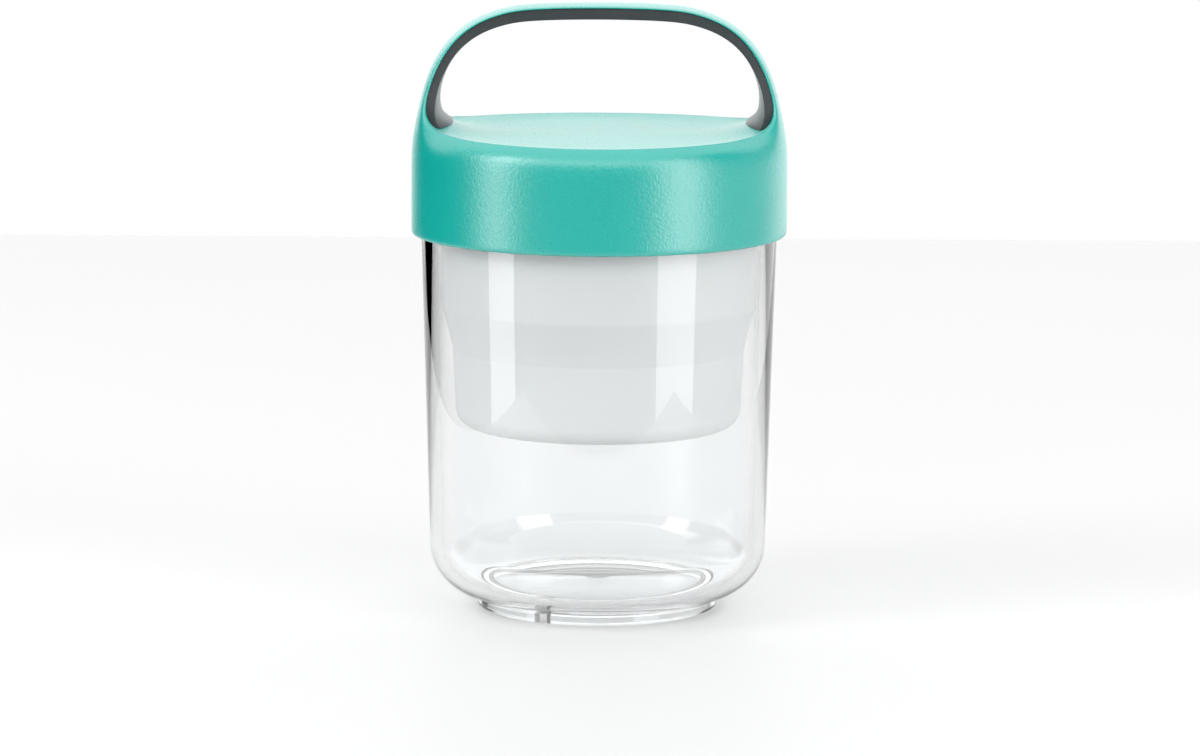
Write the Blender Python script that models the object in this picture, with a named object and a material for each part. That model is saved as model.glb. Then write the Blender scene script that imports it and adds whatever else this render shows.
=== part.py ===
"""To-go jar: a clear lower jar, a pot that hangs in its mouth, and a screw lid with an arched handle.

Metres, +Z up. The origin is the centre of the jar's foot, and the handle spans X.
The lid is one moulding: its arch grows out of the shoulder, so its skin is one smoothed cage.
"""
import math

import bmesh
import bpy
from mathutils import Vector

# How finely round shapes are made
TURN_STEPS = 48
CAGE_STEPS = 24
SMOOTH_LEVELS = 1
EDGE_STEPS = 2
SEAL_STEPS = 1
CORNER_STEPS = 7
MERGE_DISTANCE = 0.000002
SHARP_DEGREES = 32

# Clearances that every fit is worked out from
CONTACT_GAP = 0.0003
LID_SIDE_GAP = 0.0005
POT_SIDE_GAP = 0.0006
CUT_OVERRUN = 0.0040

# Jar body
JAR_TOP_RADIUS = 0.0474
JAR_BASE_RADIUS = 0.0446
JAR_WALL = 0.0034
JAR_CORNER_RADIUS = 0.0138
JAR_SHOULDER_HEIGHT = 0.1012
JAR_SHOULDER_ROUND = 0.0010
JAR_FLOOR = 0.0040
NECK_SET_BACK = 0.0013
NECK_HEIGHT = 0.0164
NECK_ROUND = 0.0005
FOOT_HEIGHT = 0.0032
FOOT_RECESS = 0.0026
FOOT_OUTER_RADIUS = 0.0322
FOOT_WIDTH = 0.0030
FOOT_ROUND = 0.0008
DRAIN_NOTCH_WIDTH = 0.0037
DRAIN_NOTCH_DEGREES = -117.6
GATE_MARK_RADIUS = 0.0024
GATE_MARK_DEPTH = 0.0005

# Inner pot, measured down from the underside of its flange and in from the jar's wall
POT_WALL = 0.0015
POT_DEPTH = 0.0708
POT_WAIST_DEPTH = 0.0498
POT_SHOULDER_DEPTH = 0.0380
POT_WAIST_GAP = 0.0037
POT_SHOULDER_GAP = 0.0009
POT_BASE_GAP = 0.0043
POT_CORNER_RADIUS = 0.0050
POT_BEND_RADIUS = 0.0060
POT_RIM_ROUND = 0.0005
POT_FLANGE = 0.0016
POT_BASE_RECESS = 0.0006
POT_BASE_RECESS_RADIUS = 0.0250

# Sealing rings
POT_SEAL_THICKNESS = 0.0014
LID_SEAL_THICKNESS = 0.0020
LID_SEAL_WIDTH = 0.0027
SEAL_ROUND = 0.0005

# Lid shell
LID_WALL = 0.0021
LID_DECK = 0.0021
LID_EDGE_OVERLAP = 0.0010
LID_EDGE_ROUND = 0.0012
LID_CREST_INSET = 0.0038
LID_CREST_HEIGHT = 0.0009
LID_SHOULDER_DROP = 0.0014
LID_SADDLE = 0.0009
SEAL_SEAT = 0.0010
SEAL_RIB_WIDTH = 0.0013
SEAL_RIB_DEPTH = 0.0016
SEAL_WALL_STEP = 0.0010

# Arched handle: a superellipse that starts at the skirt's lower edge
ARCH_INSET = 0.0002
ARCH_HEIGHT = 0.0614
ARCH_POWER = 3.6
ARCH_FIRST_DEGREES = 18.5
ARCH_SECTIONS = 8
STRAP_CROWN_HALF_WIDTH = 0.0074
STRAP_FOOT_HALF_WIDTH = 0.0130
STRAP_CROWN_EDGE = 0.0006
STRAP_SIDE_EDGE = 0.0009
STRAP_FOOT_EDGE = 0.0004
STRAP_CROWN_BULGE = 0.0003
STRAP_SIDE_BULGE = 0.0010
STRAP_SIDE_ROUND = 0.0003
SWOOP_HEIGHT = 0.0033

# Soft grip under the strap
GRIP_CROWN_THICKNESS = 0.0029
GRIP_SIDE_THICKNESS = 0.0020
GRIP_BULGE = 0.0009
GRIP_EDGE_INSET = 0.0003
GRIP_BITE = 0.0004
TONGUE_REACH = 0.0096
TONGUE_DROP = 0.0036

# Shares of the sizes above, chosen for the cage's shape
SKIRT_RING_SHARES = (0.13, 0.45, 0.76)
DECK_RING_SHARES = (0.905, 0.80, 0.69, 0.46)
DECK_DISH_SHARES = (0.80, 0.15, 0.0, 0.0)
DECK_SADDLE_SHARES = (1.0, 0.6, 0.1, 0.0)
MIDDLE_SWOOP_SHARES = (0.66, 0.97, 0.30, 0.0)
OUTER_SWOOP_SHARES = (0.00, 0.14, 0.08, 0.0)
CREST_SWOOP_SHARE = 0.36
STRAP_OUTER_SHARES = (-1.0, -0.42, 0.42, 1.0)
STRAP_INNER_SHARES = (1.0, 0.50, -0.50, -1.0)
GRIP_OUTER_SHARES = (-1.0, -0.85, 0.85, 1.0)
GRIP_INNER_SHARES = (1.0, 0.55, -0.55, -1.0)

# Stations of the grip's foot, from the tongue's tip up: reach and drop of the side that faces the
# lid, then of the visible side's edges, then of its middle
TONGUE_STATION_SHARES = (
    (0.66, 1.40, 0.67, 1.15, 1.03, 1.04),
    (0.52, 1.15, 0.65, 0.83, 1.01, 0.56),
    (0.35, 0.95, 0.58, 0.57, 0.84, 0.32),
    (0.24, 0.40, 0.53, 0.18, 0.69, 0.05),
    (0.22, -0.43, 0.51, -0.46, 0.62, -0.55),
)

# How much smoothing keeps an edge: nought rounds it fully, one keeps it sharp
CREST_CREASE_SHARE = 0.45
FOOT_CREASE_SHARE = 0.40
GRIP_CREASE_SHARE = 0.60

# Turns a point of the right half into one of the left half
MIRROR = Vector((-1, 1, 1))

# Points of the grip's section that lie on its four long edges
GRIP_EDGE_COLUMNS = (0, 3, 4, 7)

# Columns of the cage that carry the handle's feet, from -Y to +Y
RIGHT_FOOT_COLUMNS = (22, 23, 0, 1)
LEFT_FOOT_COLUMNS = (13, 12, 11, 10)

# Heights and radii that follow from the sizes above
JAR_RIM_HEIGHT = JAR_SHOULDER_HEIGHT + NECK_HEIGHT
JAR_SLOPE = (JAR_TOP_RADIUS - JAR_BASE_RADIUS) / (JAR_SHOULDER_HEIGHT - FOOT_HEIGHT)
NECK_RADIUS = JAR_TOP_RADIUS - NECK_SET_BACK
JAR_BORE = JAR_TOP_RADIUS - JAR_WALL
FLANGE_UNDERSIDE = JAR_RIM_HEIGHT + POT_SEAL_THICKNESS + 2 * CONTACT_GAP
FLANGE_TOP = FLANGE_UNDERSIDE + POT_FLANGE
POT_RADIUS = JAR_BORE - POT_SIDE_GAP
SEAL_SEAT_HEIGHT = FLANGE_TOP + LID_SEAL_THICKNESS + 2 * CONTACT_GAP
DECK_UNDERSIDE = SEAL_SEAT_HEIGHT + SEAL_SEAT
DECK_TOP = DECK_UNDERSIDE + LID_DECK
SKIRT_BORE = JAR_TOP_RADIUS + LID_SIDE_GAP
LID_RADIUS = SKIRT_BORE + LID_WALL
SKIRT_EDGE_HEIGHT = JAR_SHOULDER_HEIGHT - LID_EDGE_OVERLAP
LID_SEAL_OUTER = SKIRT_BORE - SEAL_WALL_STEP - CONTACT_GAP
LID_SEAL_INNER = LID_SEAL_OUTER - LID_SEAL_WIDTH
ARCH_RADIUS = LID_RADIUS - ARCH_INSET


def material(name, colour, roughness, alpha=1.0):
    """A plain Principled material."""
    made = bpy.data.materials.new(name)
    made.use_nodes = True
    shader = made.node_tree.nodes["Principled BSDF"]
    shader.inputs["Base Color"].default_value = (*colour, 1.0)
    shader.inputs["Roughness"].default_value = roughness
    shader.inputs["Metallic"].default_value = 0.0
    shader.inputs["Alpha"].default_value = alpha
    return made


def arc(centre, radius, start, end, steps):
    """Points of a circular arc between two angles, both ends included."""
    points = []
    for step in range(steps + 1):
        angle = start + (end - start) * step / steps
        points.append((centre[0] + radius * math.cos(angle), centre[1] + radius * math.sin(angle)))
    return points


def fillet(before, corner, after, radius, steps):
    """Points of a round in place of a corner, never longer than the edges beside it."""
    into = Vector(before) - Vector(corner)
    away = Vector(after) - Vector(corner)
    half = into.angle(away) / 2
    longest = min(into.length, away.length) / 2
    radius = min(radius, longest * math.tan(half))
    reach = radius / math.tan(half)
    into.normalize()
    away.normalize()
    centre = Vector(corner) + (into + away).normalized() * (radius / math.sin(half))
    start = Vector(corner) + into * reach - centre
    end = Vector(corner) + away * reach - centre
    first = math.atan2(start.y, start.x)
    sweep = math.atan2(end.y, end.x) - first
    if sweep > math.pi:
        sweep -= 2 * math.pi
    if sweep < -math.pi:
        sweep += 2 * math.pi
    return arc(centre, radius, first, first + sweep, steps)


def rounded(corners):
    """An outline in the XZ plane from corners given as radius, height, round and round steps."""
    points = []
    for index, (radius, height, edge_round, steps) in enumerate(corners):
        if steps == 0:
            points.append((radius, height))
            continue
        before = corners[index - 1][:2]
        after = corners[(index + 1) % len(corners)][:2]
        points += fillet(before, (radius, height), after, edge_round, steps)
    return points


def finish_mesh(bm, name):
    """A smooth mesh with its faces pointing out, and sharp edges where the shape turns."""
    bmesh.ops.recalc_face_normals(bm, faces=bm.faces)
    mesh = bpy.data.meshes.new(name)
    bm.to_mesh(mesh)
    bm.free()
    mesh.shade_smooth()
    mesh.set_sharp_from_angle(angle=math.radians(SHARP_DEGREES))
    return mesh


def turned_mesh(name, outline, ring=False):
    """An outline spun round Z. A ring's outline is a closed loop that stays off the axis."""
    bm = bmesh.new()
    points = [bm.verts.new((radius, 0, height)) for radius, height in outline]
    pairs = list(zip(points, points[1:]))
    if ring:
        pairs.append((points[-1], points[0]))
    edges = [bm.edges.new(pair) for pair in pairs]
    bmesh.ops.spin(bm, geom=points + edges, cent=(0, 0, 0), axis=(0, 0, 1), angle=2 * math.pi,
                   steps=TURN_STEPS, use_merge=True)
    bmesh.ops.remove_doubles(bm, verts=bm.verts, dist=MERGE_DISTANCE)
    return finish_mesh(bm, name)


def add_piece(name, mesh, finish=None):
    """An object for a piece. One without a finish is a cutter, shown as wire and never rendered."""
    piece = bpy.data.objects.new(name, mesh)
    bpy.context.collection.objects.link(piece)
    if finish is None:
        piece.hide_render = True
        piece.display_type = "WIRE"
    else:
        mesh.materials.append(finish)
    return piece


def cut(piece, cutter, name):
    """A live Boolean cut."""
    modifier = piece.modifiers.new(name, "BOOLEAN")
    modifier.operation = "DIFFERENCE"
    modifier.solver = "EXACT"
    modifier.object = cutter


def smooth(piece):
    """Live Catmull-Clark smoothing of a cage."""
    modifier = piece.modifiers.new("smoothing", "SUBSURF")
    modifier.levels = SMOOTH_LEVELS
    modifier.render_levels = SMOOTH_LEVELS


def jar_inner_radius(height):
    """The jar's inner wall at a height above its corner."""
    return JAR_BASE_RADIUS + JAR_SLOPE * (height - FOOT_HEIGHT) - JAR_WALL


def jar_outline():
    """The jar from the middle of its underside, round the outside, over the rim and down inside."""
    lean = math.atan(JAR_SLOPE)
    corner_height = FOOT_HEIGHT + JAR_CORNER_RADIUS
    wall_at_corner = JAR_BASE_RADIUS + JAR_SLOPE * JAR_CORNER_RADIUS
    corner = (wall_at_corner - JAR_CORNER_RADIUS / math.cos(lean), corner_height)
    floor_height = FOOT_RECESS + JAR_FLOOR
    inner_round = corner_height - floor_height
    foot_share = (FOOT_OUTER_RADIUS - corner[0]) / JAR_CORNER_RADIUS
    foot_angle = math.asin(foot_share) - math.pi / 2
    foot_inner = FOOT_OUTER_RADIUS - FOOT_WIDTH
    gate_top = FOOT_RECESS + GATE_MARK_DEPTH
    inner_base = corner[0] + inner_round / math.cos(lean) - JAR_SLOPE * inner_round
    rim_bore = JAR_BORE + JAR_SLOPE * NECK_HEIGHT
    neck_start = JAR_SHOULDER_HEIGHT + NECK_SET_BACK

    outline = [(0, gate_top), (GATE_MARK_RADIUS, gate_top), (GATE_MARK_RADIUS + GATE_MARK_DEPTH, FOOT_RECESS)]
    outline += rounded([
        (0, FOOT_RECESS, 0, 0),
        (foot_inner, FOOT_RECESS, FOOT_ROUND, EDGE_STEPS),
        (foot_inner, 0, FOOT_ROUND, EDGE_STEPS),
        (FOOT_OUTER_RADIUS, 0, FOOT_ROUND, EDGE_STEPS),
        (FOOT_OUTER_RADIUS, FOOT_HEIGHT, 0, 0),
    ])[1:-1]
    outline += arc(corner, JAR_CORNER_RADIUS, foot_angle, -lean, CORNER_STEPS)
    outline += rounded([
        (JAR_BASE_RADIUS, FOOT_HEIGHT, 0, 0),
        (JAR_TOP_RADIUS, JAR_SHOULDER_HEIGHT, JAR_SHOULDER_ROUND, EDGE_STEPS),
        (NECK_RADIUS, neck_start, NECK_ROUND, EDGE_STEPS),
        (NECK_RADIUS, JAR_RIM_HEIGHT, NECK_ROUND, EDGE_STEPS),
        (rim_bore, JAR_RIM_HEIGHT, NECK_ROUND, EDGE_STEPS),
        (inner_base, floor_height, inner_round, CORNER_STEPS),
        (0, floor_height, 0, 0),
    ])[1:]
    return outline


def make_jar(finish):
    """The clear jar, with the drain notch cut through its foot ring."""
    jar = add_piece("jar_body", turned_mesh("jar_body", jar_outline()), finish)
    bm = bmesh.new()
    bmesh.ops.create_cube(bm, size=1.0)
    length = FOOT_WIDTH + 2 * CUT_OVERRUN
    bmesh.ops.scale(bm, verts=bm.verts, vec=(length, DRAIN_NOTCH_WIDTH, 2 * FOOT_RECESS))
    notch = add_piece("drain_notch_cutter", finish_mesh(bm, "drain_notch_cutter"))
    turn = math.radians(DRAIN_NOTCH_DEGREES)
    reach = FOOT_OUTER_RADIUS - FOOT_WIDTH / 2
    notch.location = (reach * math.cos(turn), reach * math.sin(turn), 0)
    notch.rotation_euler = (0, 0, turn)
    cut(jar, notch, "drain notch")


def pot_outline():
    """The pot from the middle of its underside, round the outside, over the flange and down inside."""
    base = FLANGE_UNDERSIDE - POT_DEPTH
    waist = FLANGE_UNDERSIDE - POT_WAIST_DEPTH
    shoulder = FLANGE_UNDERSIDE - POT_SHOULDER_DEPTH
    base_radius = jar_inner_radius(base) - POT_BASE_GAP
    waist_radius = jar_inner_radius(waist) - POT_WAIST_GAP
    shoulder_radius = jar_inner_radius(shoulder) - POT_SHOULDER_GAP
    inner_corner = POT_CORNER_RADIUS - POT_WALL
    inner_bend = POT_BEND_RADIUS - POT_WALL
    recess = base + POT_BASE_RECESS
    recess_edge = POT_BASE_RECESS_RADIUS + POT_BASE_RECESS
    return rounded([
        (0, recess, 0, 0),
        (POT_BASE_RECESS_RADIUS, recess, 0, 0),
        (recess_edge, base, 0, 0),
        (base_radius, base, POT_CORNER_RADIUS, CORNER_STEPS - EDGE_STEPS),
        (waist_radius, waist, POT_WALL, EDGE_STEPS),
        (shoulder_radius, shoulder, POT_BEND_RADIUS, EDGE_STEPS),
        (POT_RADIUS, FLANGE_UNDERSIDE, 0, 0),
        (NECK_RADIUS, FLANGE_UNDERSIDE, POT_RIM_ROUND, EDGE_STEPS),
        (NECK_RADIUS, FLANGE_TOP, POT_RIM_ROUND, EDGE_STEPS),
        (POT_RADIUS - POT_WALL, FLANGE_TOP, POT_RIM_ROUND, EDGE_STEPS),
        (shoulder_radius - POT_WALL, shoulder, inner_bend, EDGE_STEPS),
        (waist_radius - POT_WALL, waist, POT_WALL, EDGE_STEPS),
        (base_radius - POT_WALL, recess + POT_WALL, inner_corner, CORNER_STEPS - EDGE_STEPS),
        (0, recess + POT_WALL, 0, 0),
    ])


def seal_outline(inner, outer, bottom, top):
    """A ring's section with rounded edges."""
    return rounded([
        (inner, bottom, SEAL_ROUND, SEAL_STEPS),
        (outer, bottom, SEAL_ROUND, SEAL_STEPS),
        (outer, top, SEAL_ROUND, SEAL_STEPS),
        (inner, top, SEAL_ROUND, SEAL_STEPS),
    ])


def make_pot(finish, seal_finish):
    """The pot and the ring that sits between its flange and the jar's rim."""
    add_piece("inner_pot", turned_mesh("inner_pot", pot_outline()), finish)
    bottom = JAR_RIM_HEIGHT + CONTACT_GAP
    top = FLANGE_UNDERSIDE - CONTACT_GAP
    section = seal_outline(POT_RADIUS + CONTACT_GAP, NECK_RADIUS - CONTACT_GAP, bottom, top)
    add_piece("pot_seal", turned_mesh("pot_seal", section, ring=True), seal_finish)


def arch_point(degrees):
    """A point of the handle's outer line and its inward normal, both in the XZ plane."""
    across = math.cos(math.radians(degrees))
    along = math.sin(math.radians(degrees))
    power = 2 / ARCH_POWER
    side = math.copysign(1, across)
    x_share = side * abs(across) ** power
    z_share = along ** power
    point = Vector((ARCH_RADIUS * x_share, 0, SKIRT_EDGE_HEIGHT + ARCH_HEIGHT * z_share))
    steepness = ARCH_POWER - 1
    normal = Vector((side * abs(x_share) ** steepness / ARCH_RADIUS, 0, z_share ** steepness / ARCH_HEIGHT))
    return point, -normal.normalized()


def arch_angles():
    """Angles of the handle's sections, from the right foot over the crown to the left foot."""
    angles = []
    for step in range(2 * ARCH_SECTIONS + 1):
        from_crown = 1 - step / ARCH_SECTIONS
        angles.append(90 - from_crown * (90 - ARCH_FIRST_DEGREES))
    return angles


def arch_line():
    """Cage points and normals that bring the smoothed handle back onto its outer line."""
    angles = arch_angles()
    step = angles[1] - angles[0]
    line = []
    for angle in angles:
        point, normal = arch_point(angle)
        before = arch_point(angle - step)[0]
        after = arch_point(angle + step)[0]
        line.append((point - (before - 2 * point + after) / 6, normal))
    return line


def foot_share(angle):
    """How near a section is to a foot: nought at the crown, one at the first section."""
    return (abs(90 - angle) / (90 - ARCH_FIRST_DEGREES)) ** 2


def blend(crown_value, side_value, share):
    """A size between its value at the crown and at the side."""
    return crown_value + (side_value - crown_value) * share


def strap_depths(share):
    """How far the strap's outside bulges, and how thick its edges are."""
    side_share = min(1, 2 * share)
    bulge = blend(STRAP_CROWN_BULGE, STRAP_SIDE_BULGE, side_share)
    edge = blend(STRAP_CROWN_EDGE, STRAP_SIDE_EDGE, side_share)
    return bulge, edge + STRAP_FOOT_EDGE * share ** 4


def strap_sections(bm):
    """The strap's cross-sections: four points outside, four inside and one on each edge."""
    sections = []
    for (centre, inward), angle in zip(arch_line(), arch_angles()):
        share = foot_share(angle)
        half_width = blend(STRAP_CROWN_HALF_WIDTH, STRAP_FOOT_HALF_WIDTH, share)
        bulge, edge = strap_depths(share)
        inside = centre + inward * (bulge + edge)
        middle = centre + inward * (bulge + edge / 2)
        edge_reach = Vector((0, half_width + STRAP_SIDE_ROUND, 0))
        points = [centre + inward * bulge * y_share ** 2 + Vector((0, half_width * y_share, 0))
                  for y_share in STRAP_OUTER_SHARES]
        points.append(middle + edge_reach)
        points += [inside + Vector((0, half_width * y_share, 0)) for y_share in STRAP_INNER_SHARES]
        points.append(middle - edge_reach)
        sections.append([bm.verts.new(point) for point in points])
    return sections


def keep_edges(bm, pairs, share):
    """Creases the edges between pairs of points, wherever the cage has one."""
    crease = bm.edges.layers.float.get("crease_edge") or bm.edges.layers.float.new("crease_edge")
    for pair in pairs:
        edge = bm.edges.get(pair)
        if edge:
            edge[crease] = share


def lid_rings():
    """The lid's outer rings as radius, height, saddle share and swoop shares, from the bottom up."""
    shoulder = DECK_TOP - LID_SHOULDER_DROP
    edge_inset = LID_EDGE_ROUND / 2
    rings = [
        (SKIRT_BORE - CUT_OVERRUN, SKIRT_EDGE_HEIGHT, 0, 0, 0),
        (LID_RADIUS - edge_inset, SKIRT_EDGE_HEIGHT, 0, 0, 0),
        (LID_RADIUS, SKIRT_EDGE_HEIGHT + edge_inset, 0, 0, 0),
    ]
    for share in SKIRT_RING_SHARES:
        height = SKIRT_EDGE_HEIGHT + (shoulder - SKIRT_EDGE_HEIGHT) * share
        rings.append((LID_RADIUS, height, 0, 0, 0))
    rings.append((LID_RADIUS - ARCH_INSET, shoulder, 0, 0, 0))
    rings.append((LID_RADIUS - LID_CREST_INSET, DECK_TOP + LID_CREST_HEIGHT, 1, 0, CREST_SWOOP_SHARE))
    swoops = zip(MIDDLE_SWOOP_SHARES, OUTER_SWOOP_SHARES)
    shares = zip(DECK_RING_SHARES, DECK_DISH_SHARES, DECK_SADDLE_SHARES, swoops)
    for radius_share, dish, saddle, (middle, outer) in shares:
        rings.append((LID_RADIUS * radius_share, DECK_TOP + LID_CREST_HEIGHT * dish, saddle, middle, outer))
    return rings


def lid_form(name):
    """The lid's whole outer skin as a cage: skirt, deck, and the arch grown from both shoulders."""
    bm = bmesh.new()
    step_angle = 2 * math.pi / CAGE_STEPS
    # Smoothing draws a ring of points in by this share, so the cage is made that much wider
    draw_in_share = (2 + math.cos(step_angle)) / 3
    feet = (RIGHT_FOOT_COLUMNS, LEFT_FOOT_COLUMNS)
    middle_columns = [foot[index] for foot in feet for index in (1, 2)]
    outer_columns = [foot[index] for foot in feet for index in (0, 3)]
    patch_columns = [column for column in range(CAGE_STEPS)
                     if any(column in foot and (column + 1) % CAGE_STEPS in foot for foot in feet)]
    rings = []
    for radius, height, saddle, middle, outer in lid_rings():
        ring = []
        for column in range(CAGE_STEPS):
            angle = (column + 0.5) * step_angle
            rise = LID_SADDLE * saddle * math.cos(angle) ** 2
            if column in middle_columns:
                rise += SWOOP_HEIGHT * middle
            if column in outer_columns:
                rise += SWOOP_HEIGHT * outer
            reach = radius / draw_in_share
            ring.append(bm.verts.new((reach * math.cos(angle), reach * math.sin(angle), height + rise)))
        rings.append(ring)

    shoulder_level = 3 + len(SKIRT_RING_SHARES)
    crest_level = shoulder_level + 1
    deck_level = crest_level + 1
    for level in range(len(rings) - 1):
        for column in range(CAGE_STEPS):
            if level in (shoulder_level, crest_level) and column in patch_columns:
                continue
            after = (column + 1) % CAGE_STEPS
            low, high = rings[level], rings[level + 1]
            bm.faces.new((low[column], low[after], high[after], high[column]))
    bm.faces.new(rings[0])
    bm.faces.new(rings[-1])

    crest = [(rings[crest_level][column - 1], rings[crest_level][column]) for column in range(CAGE_STEPS)]
    keep_edges(bm, crest, CREST_CREASE_SHARE)

    ends = []
    for foot in feet:
        outside = [rings[shoulder_level][column] for column in foot]
        inside = [rings[deck_level][column] for column in reversed(foot)]
        ends.append(outside + [rings[crest_level][foot[-1]]] + inside + [rings[crest_level][foot[0]]])
        keep_edges(bm, zip(inside, inside[1:]), FOOT_CREASE_SHARE)
    sections = [ends[0]] + strap_sections(bm) + [ends[1]]
    for here, following in zip(sections, sections[1:]):
        for index in range(len(here)):
            beside = (index + 1) % len(here)
            bm.faces.new((here[index], here[beside], following[beside], following[index]))
    bmesh.ops.delete(bm, geom=[vert for vert in bm.verts if not vert.link_faces], context="VERTS")
    return finish_mesh(bm, name)


def lid_hollow_outline():
    """Everything inside the lid: the skirt's bore, the seal's seat between its walls, and the deck."""
    rib_outer = LID_SEAL_INNER - CONTACT_GAP
    rib_inner = rib_outer - SEAL_RIB_WIDTH
    rib_foot = SEAL_SEAT_HEIGHT - SEAL_RIB_DEPTH
    seal_wall = SKIRT_BORE - SEAL_WALL_STEP
    step_foot = rib_foot - SEAL_WALL_STEP
    below = SKIRT_EDGE_HEIGHT - CUT_OVERRUN
    return [
        (0, below),
        (SKIRT_BORE, below),
        (SKIRT_BORE, step_foot),
        (seal_wall, rib_foot),
        (seal_wall, SEAL_SEAT_HEIGHT),
        (rib_outer, SEAL_SEAT_HEIGHT),
        (rib_outer, rib_foot),
        (rib_inner, rib_foot),
        (rib_inner, DECK_UNDERSIDE),
        (0, DECK_UNDERSIDE),
    ]


def make_lid(finish, seal_finish):
    """The lid shell, hollowed from below, and the sealing ring in its seat."""
    lid = add_piece("lid_shell", lid_form("lid_shell"), finish)
    smooth(lid)
    hollow = add_piece("lid_hollow_cutter", turned_mesh("lid_hollow_cutter", lid_hollow_outline()))
    cut(lid, hollow, "hollow")
    section = seal_outline(LID_SEAL_INNER, LID_SEAL_OUTER, FLANGE_TOP + CONTACT_GAP,
                           SEAL_SEAT_HEIGHT - CONTACT_GAP)
    add_piece("lid_seal", turned_mesh("lid_seal", section, ring=True), seal_finish)


def grip_stations():
    """The grip's stations as points on the lid's side, at the visible edges and middle, and half width."""
    stations = []
    for (centre, inward), angle in zip(arch_line(), arch_angles()):
        share = foot_share(angle)
        bulge, edge = strap_depths(share)
        thickness = blend(GRIP_CROWN_THICKNESS, GRIP_SIDE_THICKNESS, min(1, 2 * share))
        half_width = blend(STRAP_CROWN_HALF_WIDTH, STRAP_FOOT_HALF_WIDTH, share) - GRIP_EDGE_INSET
        outer = centre + inward * (bulge + edge - GRIP_BITE)
        inner = centre + inward * (bulge + edge + thickness)
        stations.append((outer, inner, inner + inward * GRIP_BULGE * share ** 2, half_width))
    foot = arch_point(ARCH_FIRST_DEGREES)[0]
    half_width = STRAP_FOOT_HALF_WIDTH - GRIP_EDGE_INSET
    right = []
    left = []
    # Each foot turns inwards over the shoulder and dives into the deck, which leaves a thin tongue
    for shares in TONGUE_STATION_SHARES:
        points = []
        for reach, drop in (shares[0:2], shares[2:4], shares[4:6]):
            points.append(foot - Vector((TONGUE_REACH * reach, 0, TONGUE_DROP * drop)))
        right.append((*points, half_width))
        left.insert(0, (*(point * MIRROR for point in points), half_width))
    return right + stations[1:-1] + left


def make_grip(finish):
    """The soft grip, lofted along the arch and cut back to leave its gap to the lid."""
    bm = bmesh.new()
    sections = []
    for outer, edge, middle, half_width in grip_stations():
        points = [outer + Vector((0, half_width * share, 0)) for share in GRIP_OUTER_SHARES]
        for share in GRIP_INNER_SHARES:
            inner = edge if abs(share) == 1 else middle
            points.append(inner + Vector((0, half_width * share, 0)))
        sections.append([bm.verts.new(point) for point in points])
    for here, following in zip(sections, sections[1:]):
        for index in range(len(here)):
            beside = (index + 1) % len(here)
            bm.faces.new((here[index], here[beside], following[beside], following[index]))
        keep_edges(bm, [(here[index], following[index]) for index in GRIP_EDGE_COLUMNS], GRIP_CREASE_SHARE)
    for end in (sections[0], sections[-1]):
        for low in range(len(GRIP_OUTER_SHARES) - 1):
            high = len(end) - 1 - low
            bm.faces.new((end[low], end[low + 1], end[high - 1], end[high]))
    grip = add_piece("handle_grip", finish_mesh(bm, "handle_grip"), finish)
    smooth(grip)
    spacer = add_piece("grip_gap_cutter", lid_form("grip_gap_cutter"))
    smooth(spacer)
    swell = spacer.modifiers.new("gap", "DISPLACE")
    swell.strength = CONTACT_GAP
    swell.mid_level = 0
    cut(grip, spacer, "gap to the lid")


def main():
    for old in list(bpy.data.objects):
        bpy.data.objects.remove(old)
    clear = material("clear_copolyester", (0.90, 0.93, 0.94), 0.05, alpha=0.25)
    milky = material("milky_polypropylene", (0.80, 0.84, 0.86), 0.35, alpha=0.75)
    teal = material("teal_polypropylene", (0.0, 0.52, 0.42), 0.40)
    dark = material("dark_soft_touch", (0.06, 0.07, 0.08), 0.65)
    lid_ring = material("lid_ring_silicone", (0.62, 0.65, 0.66), 0.55)
    pot_ring = material("pot_ring_silicone", (0.62, 0.65, 0.66), 0.55)
    make_jar(clear)
    make_pot(milky, pot_ring)
    make_lid(teal, lid_ring)
    make_grip(dark)


main()
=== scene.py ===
"""The looks of the to-go jar: clear jar, hanging pot, sealing rings, and the lid with its arched handle."""
import math

import bmesh
import bpy
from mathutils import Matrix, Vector


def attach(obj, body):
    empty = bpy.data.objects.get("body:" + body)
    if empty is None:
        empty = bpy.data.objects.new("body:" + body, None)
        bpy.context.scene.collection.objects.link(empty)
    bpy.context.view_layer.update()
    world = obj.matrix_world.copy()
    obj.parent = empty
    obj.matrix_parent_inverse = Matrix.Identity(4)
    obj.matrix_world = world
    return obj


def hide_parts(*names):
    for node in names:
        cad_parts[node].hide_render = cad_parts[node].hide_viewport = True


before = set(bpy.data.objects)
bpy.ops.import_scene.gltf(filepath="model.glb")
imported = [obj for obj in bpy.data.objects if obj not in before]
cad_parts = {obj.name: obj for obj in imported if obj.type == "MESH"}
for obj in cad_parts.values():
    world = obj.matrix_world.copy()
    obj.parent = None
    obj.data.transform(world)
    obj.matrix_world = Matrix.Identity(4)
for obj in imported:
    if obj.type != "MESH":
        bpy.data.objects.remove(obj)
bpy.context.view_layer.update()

# How finely the shapes are made
TURN_COLUMNS = 192
CAGE_STEPS = 24
LID_LEVELS = 3
EDGE_STEPS = 5
CORNER_STEPS = 28
THREAD_ROW_HEIGHT = 0.00022
MERGE_DISTANCE = 0.000002
SHARP_DEGREES = 32

# Share of a pattern's range at which a finish's two tones begin and end
TONE_START = 0.3
TONE_END = 0.7

# Clearances
CONTACT_GAP = 0.0003
SEAT_GAP = 0.00008
LID_SIDE_GAP = 0.0005
POT_SIDE_GAP = 0.0006
CUT_OVERRUN = 0.0040

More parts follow.
